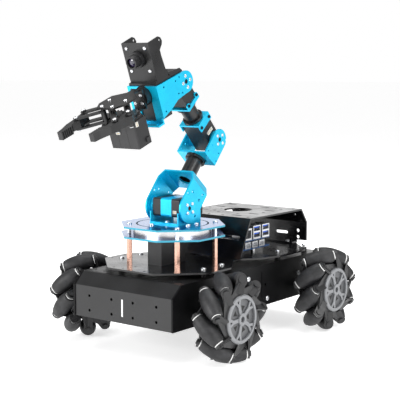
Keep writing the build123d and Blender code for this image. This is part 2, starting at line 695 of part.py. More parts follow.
def camera_bracket():
    """Base plate on the wrist bracket, upright face and side cheeks with ears."""
    t, face, half = 1.6, CAMERA_FACE, CAMERA_HALF
    cheek = side_sheet([(-face, CAMERA_TOP), (-26, CAMERA_TOP + 1), (-23, 58), (-21.5, 54), (-23, 50.5),
                        (-28, 46), (-28, 40), (-26.3, 25), (-23, 19.5), (-3, 16.8), (-2.5, 13.2),
                        (-face, 13.2)], half - t, t)
    cheek -= drill((half, -25, 55.8), (1, 0, 0), 4, 1.5)
    cheek -= drill((half, -23.8, 16.4), (1, 0, 0), 4, 1.3)
    side = cheek + block((0, half), (-47.5, -2.5), (13.2, 15.6))
    side += block((0, half), (-face, -face + t), (13.2, CAMERA_TOP))
    for z in (CAMERA_UP - 13.0, CAMERA_UP + 12):
        side -= drill((12.5, -face, z), (0, 1, 0), 4, 1.3)
    whole = side + mirrored(side)
    return whole - drill((0, -face, CAMERA_UP), (0, 1, 0), 4, 9.2)


def camera_module():
    """Camera board behind the face with its lens barrel through it."""
    back = -CAMERA_FACE + 1.6
    board = block((-16, 16), (back, back + 1.6), (CAMERA_UP - 16, CAMERA_UP + 15.5))
    barrel = rod(9.0, (0, back, CAMERA_UP), (0, -CAMERA_FACE - 5, CAMERA_UP))
    barrel += rod(7.0, (0, -CAMERA_FACE - 5, CAMERA_UP), (0, -CAMERA_FACE - 12.5, CAMERA_UP))
    barrel -= rod(5.2, (0, -CAMERA_FACE - 9.5, CAMERA_UP), (0, -CAMERA_FACE - 13, CAMERA_UP))
    housing = block((-11, 11), (back + 1.6, back + 7), (CAMERA_UP - 11, CAMERA_UP + 11))
    return board + barrel + housing


def camera_lens():
    ball = Pos(0, -CAMERA_FACE - 4.6, CAMERA_UP) * Sphere(7.2)
    zone = rod(5.2, (0, -CAMERA_FACE - 9.5, CAMERA_UP), (0, -CAMERA_FACE - 13, CAMERA_UP))
    return ball & zone


# ---------------------------------------------------------------- gripper

def grip_levels():
    """Low and high level of the lower and upper link sheets."""
    upper = (ROLL_UP + LINK_LEVEL, ROLL_UP + LINK_LEVEL + LINK_SHEET)
    lower = (ROLL_UP - LINK_LEVEL - LINK_SHEET, ROLL_UP - LINK_LEVEL)
    return lower, upper


def gripper_base():
    """Back plate on the horn with a lower and an upper deck that hold the link pivots."""
    low, high = ROLL_UP - GRIP_PLATE_HALF, ROLL_UP + GRIP_PLATE_HALF
    back = block((-8, 8), (-GRIP_BACK - 2, -GRIP_BACK), (low - 2, high + 2))
    outline = [(-5, -GRIP_BACK), (-5, -68), (-18, -78), (-18, -99), (-11, -111), (11, -111),
               (18, -99), (18, -78), (5, -68), (5, -GRIP_BACK)]
    base = back + rod(2.4, (0, -103.5, low), (0, -103.5, high))
    for z in (low - 2, high):
        base += level_sheet(outline, z, 2.0)
    for x, z in horn_spots(45):
        base -= drill((x, -GRIP_BACK, z + ROLL_UP), (0, 1, 0), 4, SMALL_SCREW_R + 0.1)
    for s in (-1, 1):
        for px, py in (CRANK_PIVOT, IDLER_PIVOT):
            base -= drill((s * px, -py, ROLL_UP), (0, 0, 1), 20, PIVOT_PIN_R)
    return base


def gripper_servo():
    """Servo hung under the lower deck that turns the right-hand crank."""
    near, far = GRIP_SERVO
    top = ROLL_UP - GRIP_PLATE_HALF - 2
    return rounded_block((-19, 19), (-far, -near), (GRIP_SERVO_LOW, top), 1.2, Axis.Z)


def gear_ring(radius_pitch, low, high, phase):
    """Spur sector: straight-sided teeth around a disc."""
    module = 2 * radius_pitch / GEAR_TEETH
    root, tip = radius_pitch - 1.15 * module, radius_pitch + 0.9 * module
    gear = rod(root, (0, 0, low), (0, 0, high))
    wide_root, wide_tip = 0.46 * pi * module, 0.26 * pi * module
    tooth = level_sheet([(root - 0.6, -wide_root / 2), (tip, -wide_tip / 2), (tip, wide_tip / 2),
                         (root - 0.6, wide_root / 2)], low, high - low)
    for i in range(GEAR_TEETH):
        gear += Rot(0, 0, phase + 360 / GEAR_TEETH * i) * tooth
    return gear


def link_bar(start, end, low, high, width=7.0):
    """Flat bar with round ends between two pivots given as (x, y)."""
    a, b = Vector(*start, 0), Vector(*end, 0)
    angle = (b - a).get_signed_angle(Vector(1, 0, 0), Vector(0, 0, -1))
    length = (b - a).length
    bar = block((0, length), (-width / 2, width / 2), (low, high))
    ends = rod(width / 2, (0, 0, low), (0, 0, high)) + rod(width / 2, (length, 0, low), (length, 0, high))
    return Pos(a.X, a.Y, 0) * Rot(0, 0, angle) * (bar + ends)


def far_pivot(near):
    """Where a link from the given base pivot meets the finger, on the right-hand side."""
    return near[0] + LINK_REACH[0], near[1] + LINK_REACH[1]


def crank(side):
    """Geared crank: a bar below and a bar above joined by the pivot boss, with its gear below."""
    lower, upper = grip_levels()
    near, far = CRANK_PIVOT, far_pivot(CRANK_PIVOT)
    a, b = (near[0], -near[1]), (far[0], -far[1])
    piece = link_bar(a, b, *lower) + link_bar(a, b, *upper)
    piece += rod(3.4, (*a, lower[0]), (*a, upper[1]))
    phase = 0 if side > 0 else 180.0 / GEAR_TEETH
    piece += Pos(near[0], -near[1], 0) * gear_ring(near[0], lower[0], lower[1], phase)
    reach = GRIP_PLATE_HALF + 1.6
    piece += rod(PIVOT_PIN_R - RUNNING_GAP, (*a, ROLL_UP - reach), (*a, ROLL_UP + reach))
    for z0, z1 in ((lower[0] - 1.6, lower[1]), (upper[0], upper[1] + 1.6)):
        piece += rod(2.6, (*b, z0), (*b, z1))
    piece += rod(PIVOT_PIN_R - RUNNING_GAP, (*b, lower[0]), (*b, upper[1]))
    return piece if side > 0 else mirrored(piece)


def idler(side):
    """Plain link that keeps the finger parallel; its far end is the open pivot with clearance."""
    lower, upper = grip_levels()
    near, far = IDLER_PIVOT, far_pivot(IDLER_PIVOT)
    a, b = (near[0], -near[1]), (far[0], -far[1])
    piece = link_bar(a, b, *lower, 6.0) + link_bar(a, b, *upper, 6.0)
    piece += rod(3.0, (*a, lower[0]), (*a, upper[1]))
    reach = GRIP_PLATE_HALF + 1.6
    piece += rod(PIVOT_PIN_R - RUNNING_GAP, (*a, ROLL_UP - reach), (*a, ROLL_UP + reach))
    piece += rod(PIVOT_PIN_R - 0.35, (*b, lower[0]), (*b, upper[1]))
    return piece if side > 0 else mirrored(piece)


def finger(side):
    """Finger held by both links: a root plate, a cranked shank and a flat grip pad."""
    low, high = ROLL_UP - FINGER_HALF_HIGH, ROLL_UP + FINGER_HALF_HIGH
    c, d = far_pivot(CRANK_PIVOT), far_pivot(IDLER_PIVOT)
    tip_x, tip_f = FINGER_TIP
    outline = [(c[0] - 4, -c[1] + 1), (c[0] + 2, -c[1] + 4.5), (c[0] + 4.5, -c[1]), (d[0] + 5, -d[1]),
               (d[0] + 3.5, -d[1] - 12), (tip_x + 7.5, -tip_f + 8), (tip_x + 6, -tip_f),
               (tip_x, -tip_f), (tip_x, -tip_f + 16), (d[0] - 3, -d[1] - 10), (d[0] - 4.5, -d[1])]
    body = level_sheet(outline, low, high - low)
    for px, pf in (c, d):
        body -= drill((px, -pf, ROLL_UP), (0, 0, 1), 20, PIVOT_PIN_R)
    for i in range(5):
        body -= block((tip_x - 1, tip_x + 0.7), (-tip_f + 1.6 + 2.8 * i, -tip_f + 2.8 + 2.8 * i),
                      (low - 1, high + 1))
    return body if side > 0 else mirrored(body)


# ---------------------------------------------------------------- computer bay

def bridge_bracket():
    """Folded bridge over the computer: sloped front wall, slotted top, stepped rear wall."""
    t, half = BRIDGE_SHEET, BRIDGE_HALF
    top_y, foot_y = BRIDGE_FRONT
    back_y, wall_y = BRIDGE_REAR
    outer = [(foot_y, DECK_TOP_Z), (top_y, BRIDGE_TOP_Z), (back_y, BRIDGE_TOP_Z),
             (wall_y, BRIDGE_REAR_KNEE_Z), (wall_y, DECK_TOP_Z)]
    inner = [(foot_y + 2 * t, DECK_TOP_Z - 1), (foot_y + 1.2 * t, DECK_TOP_Z + t),
             (top_y + 0.7 * t, BRIDGE_TOP_Z - t), (back_y - 0.5 * t, BRIDGE_TOP_Z - t),
             (wall_y - t, BRIDGE_REAR_KNEE_Z - 0.6), (wall_y - t, DECK_TOP_Z - 1)]
    body = side_sheet(outer, -half, 2 * half) - side_sheet(inner, -half - 1, 2 * half + 2)
    body += block((-half + 14, half - 14), (foot_y + t, foot_y + 12), (DECK_TOP_Z, DECK_TOP_Z + t))
    body += block((-half + 14, half - 14), (wall_y - 12, wall_y - t), (DECK_TOP_Z, DECK_TOP_Z + t))
    for s in (-1, 1):
        ends = sorted((s * (half + 1), s * (half - 14)))
        body -= block(ends, (wall_y - 9, wall_y + 1), (DECK_TOP_Z - 1, DECK_TOP_Z + 4))
    mid = BRIDGE_TOP_Z
    body -= drill((-4, 67, mid), (0, 0, 1), 6, 17.0)
    for x, y in ((-40, 24), (24, 24), (-40, 46), (33, 46), (33, 80), (-40, 80), (-40, 104), (10, 104)):
        body -= slot_x((x, y, mid), 14, 1.6, 6)
    for x, y in ((-24, 60), (36, 62), (-24, 46), (36, 100), (25, 106), (-46, 66), (-46, 110), (46, 112),
                 (-46, 16), (46, 16), (-10, 16), (10, 16), (-10, 35), (18, 35)):
        body -= drill((x, y, mid), (0, 0, 1), 6, 1.8)
    for x in (-42.0, 42.0):
        for z in (100.0, 108.0):
            body -= drill((x, wall_y, z), (0, 1, 0), 4, 2.2)
        body -= drill((x, back_y + 6, 130), (0, 1, 0.6), 6, 1.5)
    for s in (-1, 1):
        centre = Pos(s * 18.5, wall_y, 104.5)
        slot = Box(14, 8, 3.6) + Pos(7, 0, 0) * rod(1.8, (0, -4, 0), (0, 4, 0)) + Pos(-7, 0, 0) * rod(
            1.8, (0, -4, 0), (0, 4, 0))
        body -= centre * slot
    body -= block((18, 46), (-14, 6), (112.5, 117))
    for x, y in bridge_feet():
        body -= drill((x, y, DECK_TOP_Z), (0, 0, 1), 4)
    return body


BOARD_LOW_Z = 99.0
BOARD_HIGH_Z = 109.0
BOARD_SHEET = 1.6


def computer_board():
    """Lower driver board and the upper computer board, with their large chips."""
    boards = []
    for z in (BOARD_LOW_Z, BOARD_HIGH_Z):
        board = block((-38, 47), (3, 59), (z, z + BOARD_SHEET))
        for x, y in board_spots():
            board -= drill((x, y, z), (0, 0, 1), 5)
        boards.append(board)
    top = BOARD_HIGH_Z + BOARD_SHEET
    boards[1] += block((-16, -1), (24, 39), (top, top + 2.0)) + block((6, 18), (24, 37), (top, top + 1.2))
    return boards


def computer_ports():
    """Stacked sockets on the right edge, the header strip and the driver board's terminals."""
    top, low = BOARD_HIGH_Z + BOARD_SHEET, BOARD_LOW_Z + BOARD_SHEET
    pieces = []
    for y, height in ((6, 13.5), (23.5, 15.5), (41.5, 15.5)):
        shell = block((31, 48.5), (y, y + 14.5), (top, top + height))
        mouths = 2 if height > 14 else 1
        for i in range(mouths):
            z = top + 2.0 + i * 7.2
            shell -= block((38, 49), (y + 1.2, y + 13.3), (z, z + (5.2 if mouths == 2 else 9.5)))
        pieces.append(shell)
    pieces.append(block((-26, 24), (51.5, 53.5), (top, top + 8.5)))
    for y in (8, 22, 36):
        terminal = block((38, 48), (y, y + 11), (low, low + 7.5))
        pieces.append(terminal - block((43, 49), (y + 1.5, y + 9.5), (low + 1.5, low + 6)))
    return pieces


def board_standoffs():
    pieces = []
    for x, y in board_spots():
        pieces.append(pillar(x, y, DECK_TOP_Z, BOARD_LOW_Z, 5.0))
        pieces.append(pillar(x, y, BOARD_LOW_Z + BOARD_SHEET, BOARD_HIGH_Z, 5.0))
        pieces.append(screw((x, y, BOARD_HIGH_Z + BOARD_SHEET), (0, 0, -1), 1.5, 1.3, 2.4, 1.5))
    return pieces


def battery_pack():
    pack = rounded_block((-27, 27), (-55, 55), (FLOOR_Z + SHEET, 70), 3.0, Axis.Y)
    return pack + block((-8, 8), (55, 61), (50, 58))


# ---------------------------------------------------------------- writing the nodes

def write_chassis():
    save("chassis_tray", chassis_tray())
    save("side_plate_right", side_plate())
    save("side_plate_left", mirrored(side_plate()))
    save("body_lid", body_lid())
    save("deck_plate", deck_plate())
    save("deck_spacers", *deck_spacers())
    save("body_screws", *body_screws())
    spots = [(side, y) for side in (-1, 1) for y in (-WHEELBASE / 2, WHEELBASE / 2)]
    save("gearmotors", *[gearmotor(y, side) for side, y in spots])
    save("motor_brackets", *[motor_bracket(y, side) for side, y in spots])
    for side, hand in ((-1, "left"), (1, "right")):
        for y, end in ((-WHEELBASE / 2, "front"), (WHEELBASE / 2, "rear")):
            wheel_parts(side, y, f"{end}_{hand}")
    save("bridge_bracket", bridge_bracket())
    save("computer_board", *computer_board())
    save("computer_ports", *computer_ports())
    save("board_standoffs", *board_standoffs())
    save("battery_pack", battery_pack())


def write_turret():
    low, high = LOWER_PLATE_Z + PLATE_SHEET, UPPER_PLATE_Z
    pillars = [pillar(x, y, DECK_TOP_Z, LOWER_PLATE_Z, PILLAR_FLATS) for x, y in pillar_spots()]
    save("turret_pillars", *pillars, *[pillar(x, y, low, high, SPACER_FLATS) for x, y in pillar_spots()])
    save("lower_bearing_plate", lower_bearing_plate())
    save("upper_bearing_plate", upper_bearing_plate())
    save("bearing_ring", bearing_ring())
    save("base_servo", base_servo())
    save("turntable", turntable())
    save("shoulder_tray", shoulder_tray())
    frame = Pos(0, *SHOULDER) * Rot(-90, 0, 0)
    body = servo_body(BIG_SERVO_WIDE)
    half = BAND_WIDE / 2 - 1.5
    zone = block((-half - 1.5, BAND_WIDE - half - 1.5), (-50, 50), (-50, 50))
    save("shoulder_servo", frame * (body - zone))
    save("shoulder_servo_band", frame * (body & zone))
    screws = [screw((x, y, TURRET_TOP_Z), (0, 0, -1), 3.5) for x, y in turret_screw_spots()]
    y0, y1 = SHOULDER[0] - 8.0, SHOULDER[0] + 20.0
    screws += [screw((0, y, TURRET_TOP_Z + 2), (0, 0, -1), 1.8) for y in (y0, y1)]
    save("turret_screws", *screws)


def cheek_screws(outer):
    """The four horn screws on each cheek and the centre screw on the right."""
    pieces = []
    for y, z in horn_spots():
        pieces += [small_screw((s * outer, y, z), (-s, 0, 0), 3.4) for s in (-1, 1)]
    return pieces


def write_lower_arm():
    shoulder, elbow = lower_frame(), lower_frame() * Pos(0, 0, LOWER_LENGTH)
    save("shoulder_bracket", shoulder * shoulder_bracket())
    low, high = SHOULDER_RISE, LOWER_LENGTH - ELBOW_DROP
    save("lower_tube", shoulder * arm_tube(low, high))
    save("elbow_bracket", elbow * elbow_bracket())
    big = both_sides(horn(BIG_SERVO_WIDE / 2, SHOULDER_HALF - BRACKET_SHEET, 11.0))
    small = both_sides(horn(SMALL_SERVO_WIDE / 2, ELBOW_HALF - BRACKET_SHEET, 9.6))
    save("lower_arm_horns", *[shoulder * p for p in big], *[elbow * p for p in small])
    screws = [shoulder * p for p in cheek_screws(SHOULDER_HALF)]
    screws += [elbow * p for p in cheek_screws(ELBOW_HALF)]
    save("lower_arm_screws", *screws)


def write_upper_arm():
    frame = upper_frame()
    wrist = frame * Pos(0, 0, UPPER_LENGTH) * Rot(180, 0, 0)
    end = FRAME_NEAR - BRACKET_SHEET
    trim = block((-50, 50), (-50, 50), (end, 100))
    save("elbow_servo", frame * (servo_body(SMALL_SERVO_WIDE) - trim))
    save("elbow_servo_frame", frame * servo_frame(FRAME_NEAR, 1, LONG_SKIRT))
    save("upper_tube", frame * arm_tube(FRAME_NEAR, FRAME_FAR - BRACKET_SHEET))
    save("wrist_servo_frame", frame * servo_frame(FRAME_FAR - BRACKET_SHEET, -1, SHORT_SKIRT))
    trim = block((-50, 50), (-50, 50), (UPPER_LENGTH - FRAME_FAR, 100))
    save("wrist_servo", wrist * (servo_body(SMALL_SERVO_WIDE) - trim))
    screws = frame_screws(FRAME_NEAR, 1) + frame_screws(FRAME_FAR - BRACKET_SHEET, -1)
    save("upper_arm_screws", *[frame * p for p in screws])


def write_wrist():
    frame = wrist_frame()
    save("wrist_bracket", frame * wrist_bracket())
    save("roll_servo", frame * roll_servo())
    horns = both_sides(horn(SMALL_SERVO_WIDE / 2, ELBOW_HALF - BRACKET_SHEET, 9.6))
    save("wrist_horns", *[frame * p for p in horns])
    save("camera_bracket", frame * camera_bracket())
    save("camera_module", frame * camera_module())
    save("camera_lens", frame * camera_lens())
    screws = cheek_screws(ELBOW_HALF)
    for x in (-12.5, 12.5):
        for z in (CAMERA_UP - 13.0, CAMERA_UP + 12):
            screws.append(small_screw((x, -CAMERA_FACE, z), (0, 1, 0), 1.5))
    save("wrist_screws", *[frame * p for p in screws])


def write_gripper():
    frame = wrist_frame()
    save("roll_horn", frame * roll_horn())
    save("gripper_base", frame * gripper_base())
    save("gripper_servo", frame * gripper_servo())
    face = -GRIP_BACK - 2
    save("gripper_screws", *[
        frame * small_screw((x, face, z + ROLL_UP), (0, 1, 0), 5.0) for x, z in horn_spots(45)])
    for side, hand in ((-1, "left"), (1, "right")):
        save(f"crank_{hand}", frame * crank(side))
        save(f"idler_{hand}", frame * idler(side))
        save(f"finger_{hand}", frame * finger(side))


write_chassis()
write_turret()
write_lower_arm()
write_upper_arm()
write_wrist()
write_gripper()
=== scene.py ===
import json
import math

import bpy
from mathutils import Matrix, Vector


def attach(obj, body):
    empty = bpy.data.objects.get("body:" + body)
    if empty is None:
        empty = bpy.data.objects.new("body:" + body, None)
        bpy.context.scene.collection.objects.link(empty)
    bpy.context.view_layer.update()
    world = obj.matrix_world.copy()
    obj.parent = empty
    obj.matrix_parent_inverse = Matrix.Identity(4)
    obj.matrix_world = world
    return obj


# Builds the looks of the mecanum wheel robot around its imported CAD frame. Lengths are in metres.

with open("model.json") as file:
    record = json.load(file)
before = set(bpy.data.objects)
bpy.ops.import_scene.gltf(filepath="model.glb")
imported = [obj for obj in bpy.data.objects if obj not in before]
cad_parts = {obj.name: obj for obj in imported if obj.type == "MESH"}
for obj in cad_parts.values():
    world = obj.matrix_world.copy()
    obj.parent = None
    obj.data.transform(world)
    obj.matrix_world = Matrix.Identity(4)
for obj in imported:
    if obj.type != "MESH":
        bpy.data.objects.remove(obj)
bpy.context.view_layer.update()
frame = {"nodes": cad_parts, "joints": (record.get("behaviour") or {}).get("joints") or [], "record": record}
NODES = frame["nodes"]
RECORD = frame["record"]

MM = 0.001

# Wheel figures, as in the CAD. What stands out from the wheel's middle by HUB_RAISED or more is a
# hub's ring or its spokes, and what lies lower is its sunk face, which is painted darker as shade.
WHEEL_CENTRE = (101.6 * MM, 95.6 * MM, 48.5 * MM)
HUB_RADIUS = 26.1 * MM
HUB_RAISED = 14.4 * MM
ROLLER_COUNT = 9
ROLLER_AXIS = 39.0 * MM
ROLLER_LEAN = 45
SPOKE_COUNT = 5

# Height of the lower bearing plate, where copper pillars give way to steel spacers
PLATE_LEVEL = 123.5 * MM

# Palette, linear RGB
COAT_BLACK = (0.006, 0.006, 0.0065)
DECK_BLACK = (0.004, 0.004, 0.0045)
PLASTIC_BLACK = (0.010, 0.010, 0.011)
ANODISED_BLUE = (0.0, 0.56, 0.86)
PLATE_BLUE = (0.008, 0.11, 0.36)
# Painted light: paler cyan for the plates' upright faces
PLATE_EDGE_PAINTED_LIGHT = (0.04, 0.30, 0.42)
RUBBER_BLACK = (0.009, 0.009, 0.010)
HUB_GREY = (0.20, 0.205, 0.215)
# Painted shade: darker grey for the hub's sunk face
HUB_SUNK_PAINTED_SHADE = (0.085, 0.087, 0.092)
LOBE_BLACK = (0.016, 0.016, 0.017)
STEEL = (0.62, 0.63, 0.65)
COPPER = (0.60, 0.36, 0.28)
WASHER_WHITE = (0.80, 0.80, 0.79)


# ---------------------------------------------------------------- materials

class Build:
    """One node material under construction."""

    def __init__(self, name):
        self.material = bpy.data.materials.new(name)
        self.material.use_nodes = True
        self.tree = self.material.node_tree
        self.shader = self.tree.nodes["Principled BSDF"]
        texture = self.tree.nodes.new("ShaderNodeTexCoord")
        self.coords = texture.outputs["Object"]
        self.normals = texture.outputs["Normal"]

    def set(self, **values):
        for key, value in values.items():
            self.shader.inputs[key.replace("_", " ")].default_value = value
        return self

    def noise(self, scale, detail=3.0, stretch=(1, 1, 1)):
        mapping = self.tree.nodes.new("ShaderNodeMapping")
        mapping.inputs["Scale"].default_value = stretch
        self.tree.links.new(self.coords, mapping.inputs["Vector"])
        texture = self.tree.nodes.new("ShaderNodeTexNoise")
        texture.inputs["Scale"].default_value = scale
        texture.inputs["Detail"].default_value = detail
        self.tree.links.new(mapping.outputs["Vector"], texture.inputs["Vector"])
        return texture.outputs["Fac"]

    def remap(self, source, low, high, start=0.3, end=0.7):
        node = self.tree.nodes.new("ShaderNodeMapRange")
        node.inputs["From Min"].default_value = start
        node.inputs["From Max"].default_value = end
        node.inputs["To Min"].default_value = low
        node.inputs["To Max"].default_value = high
        self.tree.links.new(source, node.inputs["Value"])
        return node.outputs["Result"]

    def colour(self, factor, first, second):
        mix = self.tree.nodes.new("ShaderNodeMix")
        mix.data_type = "RGBA"
        self.tree.links.new(factor, mix.inputs["Factor"])
        mix.inputs["A"].default_value = (*first, 1)
        mix.inputs["B"].default_value = (*second, 1)
        self.tree.links.new(mix.outputs["Result"], self.shader.inputs["Base Color"])
        return self

    def rough(self, factor, low, high):
        self.tree.links.new(self.remap(factor, low, high), self.shader.inputs["Roughness"])
        return self

    def bump(self, height, strength, distance=0.0004):
        node = self.tree.nodes.new("ShaderNodeBump")
        node.inputs["Strength"].default_value = strength
        node.inputs["Distance"].default_value = distance
        self.tree.links.new(height, node.inputs["Height"])
        self.tree.links.new(node.outputs["Normal"], self.shader.inputs["Normal"])
        return self


def shade(colour, factor):
    return tuple(min(1.0, c * factor) for c in colour)


def powder_coat(name, colour, rough, grain=0.25, specular=0.5):
    """Sheet steel with a fine orange-peel coat and faint handling marks."""
    b = Build(name).set(Specular_IOR_Level=specular)
    peel = b.noise(2600, 2)
    smears = b.noise(38, 4)
    b.colour(b.remap(smears, 0, 1), shade(colour, 0.8), shade(colour, 1.6))
    b.rough(smears, rough - 0.06, rough + 0.08)
    return b.bump(peel, grain, 0.0002).material


def anodised(name, colour, rough=0.3, metallic=0.55, stretch=(1, 1, 14)):
    """Brushed and dyed aluminium."""
    b = Build(name).set(Metallic=metallic, Coat_Weight=0.25, Coat_Roughness=0.18)
    brushed = b.noise(900, 3, stretch)
    cloud = b.noise(45, 3)
    b.colour(b.remap(cloud, 0, 1), shade(colour, 0.92), shade(colour, 1.08))
    b.rough(brushed, rough - 0.05, rough + 0.08)
    return b.bump(brushed, 0.05, 0.0001).material


def bare_metal(name, colour, rough, grain=900, stretch=(1, 1, 1)):
    b = Build(name).set(Metallic=1.0)
    fine = b.noise(grain, 3, stretch)
    b.colour(b.remap(b.noise(60, 3), 0, 1), shade(colour, 0.88), shade(colour, 1.1))
    b.rough(fine, rough - 0.05, rough + 0.1)
    return b.bump(fine, 0.06, 0.0001).material


def moulded(name, colour, rough=0.5, grain=0.3):
    """Spark-eroded plastic case."""
    b = Build(name)
    texture = b.noise(3200, 2)
    b.colour(b.remap(b.noise(80, 3), 0, 1), shade(colour, 0.85), shade(colour, 1.3))
    b.rough(b.noise(120, 3), rough - 0.05, rough + 0.08)
    return b.bump(texture, grain, 0.00015).material


def rubber():
    """Roller rubber: dull, slightly mottled, scuffed lighter in patches."""
    b = Build("roller_rubber")
    scuff = b.noise(160, 5)
    b.colour(b.remap(scuff, 0, 1, 0.45, 0.75), RUBBER_BLACK, shade(RUBBER_BLACK, 2.6))
    b.rough(b.noise(90, 4), 0.48, 0.66)
    return b.bump(b.noise(1400, 4), 0.35, 0.0003).material


def wheel_hub():
    """Grey moulding inside the rim, its sunk face painted darker as shade; the lobes and pins beyond it are
    black.
    """
    b = Build("hub_grey")
    split = b.tree.nodes.new("ShaderNodeSeparateXYZ")
    b.tree.links.new(b.coords, split.inputs["Vector"])

    def math_node(operation, first, second=None):
        node = b.tree.nodes.new("ShaderNodeMath")
        node.operation = operation
        for socket, value in zip(node.inputs, (first, second)):
            if isinstance(value, float):
                socket.default_value = value
            elif value is not None:
                b.tree.links.new(value, socket)
        return node.outputs["Value"]

    across = math_node("SUBTRACT", math_node("ABSOLUTE", split.outputs["Y"]), WHEEL_CENTRE[1])
    above = math_node("SUBTRACT", split.outputs["Z"], WHEEL_CENTRE[2])
    radius = math_node("SQRT", math_node("ADD", math_node("MULTIPLY", across, across),
                                         math_node("MULTIPLY", above, above)))
    beyond = math_node("GREATER_THAN", radius, HUB_RADIUS)
    out = math_node("SUBTRACT", math_node("ABSOLUTE", split.outputs["X"]), WHEEL_CENTRE[0])
    sunk = math_node("LESS_THAN", out, HUB_RAISED)
    # Painted shade: the sunk face inside the ring is coloured darker grey
    b.colour(sunk, HUB_GREY, HUB_SUNK_PAINTED_SHADE)
    face = b.shader.inputs["Base Color"].links[0].from_socket
    b.colour(beyond, HUB_GREY, LOBE_BLACK)
    b.tree.links.new(face, b.shader.inputs["Base Color"].links[0].from_node.inputs["A"])
    b.rough(b.noise(120, 3), 0.36, 0.5)
    return b.bump(b.noise(3000, 2), 0.2, 0.00015).material


def bearing_plate():
    """Blue turntable plates whose upright faces are painted a paler cyan than their flat faces, as painted
    light on the edges.
    """
    b = Build("plate_blue").set(Metallic=0.7, Coat_Weight=0.25, Coat_Roughness=0.1)
    normal = b.tree.nodes.new("ShaderNodeSeparateXYZ")
    b.tree.links.new(b.normals, normal.inputs["Vector"])
    upright = b.tree.nodes.new("ShaderNodeMath")
    upright.operation = "ABSOLUTE"
    b.tree.links.new(normal.outputs["Z"], upright.inputs[0])
    # Painted light: upright faces take the paler cyan, flat faces the deep blue
    b.colour(b.remap(upright.outputs["Value"], 0, 1, 0.45, 0.55), PLATE_EDGE_PAINTED_LIGHT, PLATE_BLUE)
    b.rough(b.noise(700, 3), 0.14, 0.24)
    return b.bump(b.noise(900, 2), 0.04, 0.0001).material


def turret_pillar():
    """Copper-plated pillars below the lower plate, steel spacers above it."""
    b = Build("copper_pillar").set(Metallic=1.0)
    split = b.tree.nodes.new("ShaderNodeSeparateXYZ")
    b.tree.links.new(b.coords, split.inputs["Vector"])
    above = b.remap(split.outputs["Z"], 0, 1, PLATE_LEVEL - 0.1 * MM, PLATE_LEVEL + 0.1 * MM)
    b.colour(above, COPPER, STEEL)
    b.rough(b.noise(800, 3), 0.2, 0.3)
    return b.bump(b.noise(500, 2, (1, 1, 0.2)), 0.05, 0.0001).material


def plain(name, colour, rough=0.4, metallic=0.0):
    b = Build(name).set(Metallic=metallic)
    b.colour(b.remap(b.noise(200, 2), 0, 1), shade(colour, 0.93), shade(colour, 1.05))
    b.rough(b.noise(300, 2), rough - 0.04, rough + 0.05)
    return b.material


def lens_glass():
    b = Build("lens_glass").set(Roughness=0.03, IOR=1.6, Coat_Weight=1.0, Coat_Roughness=0.02)
    b.colour(b.remap(b.noise(150, 2), 0, 1), (0.004, 0.006, 0.02), (0.02, 0.01, 0.05))
    return b.material


LOOKS = {
    "black_sheet": powder_coat("black_sheet", COAT_BLACK, 0.34),
    "deck_black": powder_coat("deck_black", DECK_BLACK, 0.2, 0.08),
    "blue_anodised": anodised("blue_anodised", ANODISED_BLUE),
    "plate_blue": bearing_plate(),
    "bearing_silver": bare_metal("bearing_silver", (0.66, 0.65, 0.65), 0.24, 700, (1, 1, 20)),
    "copper_pillar": turret_pillar(),
    "steel_screw": bare_metal("steel_screw", (0.82, 0.83, 0.85), 0.25),
    "servo_black": moulded("servo_black", PLASTIC_BLACK, 0.4),
    "servo_blue": anodised("servo_blue", ANODISED_BLUE, 0.32),
    "horn_metal": anodised("horn_metal", shade(ANODISED_BLUE, 0.7), 0.3),
    "black_metal": powder_coat("black_metal", COAT_BLACK, 0.3, 0.12),
    "hub_grey": wheel_hub(),
    "roller_rubber": rubber(),
    "motor_steel": bare_metal("motor_steel", STEEL, 0.35),
    "battery_wrap": moulded("battery_wrap", (0.02, 0.025, 0.05), 0.3),
    "board_laminate": plain("board_laminate", (0.006, 0.05, 0.16), 0.3),
    "port_metal": bare_metal("port_metal", (0.72, 0.73, 0.75), 0.3),
    "lens_glass": lens_glass(),
    "washer_white": plain("washer_white", WASHER_WHITE, 0.35),
    "connector_white": plain("connector_white", (0.75, 0.74, 0.70), 0.4),
    "socket_blue": plain("socket_blue", (0.01, 0.09, 0.55), 0.35),
    "gold_pin": bare_metal("gold_pin", (0.85, 0.62, 0.25), 0.25),
    "chip_black": moulded("chip_black", (0.012, 0.012, 0.013), 0.45),
    # Painted shade: a darker, less shiny copy of the black coat for the side plates
    "side_coat_painted_shade": powder_coat("side_coat_painted_shade", (0.0022, 0.0022, 0.0025), 0.36, 0.2, 0.16),
    "black_screw": bare_metal("black_screw", (0.03, 0.03, 0.035), 0.3),
    # seam_dark: dark joints for the servo seams, and painted shade for the hub windows
    "seam_dark": plain("seam_dark", (0.002, 0.002, 0.002), 0.6),
    "light_guide": plain("light_guide", (0.85, 0.86, 0.86), 0.25),
}

# Nodes whose finish differs from the rest of their slot; the side plates' darker, duller coat is painted
# shade
NODE_LOOKS = {"side_plate_left": "side_coat_painted_shade", "side_plate_right": "side_coat_painted_shade",
              "upper_arm_screws": "black_screw", "bridge_bracket": "deck_black"}

for entry in RECORD["subparts"]:
    for material_slot in NODES[entry["node"]].material_slots:
        material_slot.material = LOOKS[NODE_LOOKS.get(entry["node"], entry["material_slot"])]


# ---------------------------------------------------------------- added pieces

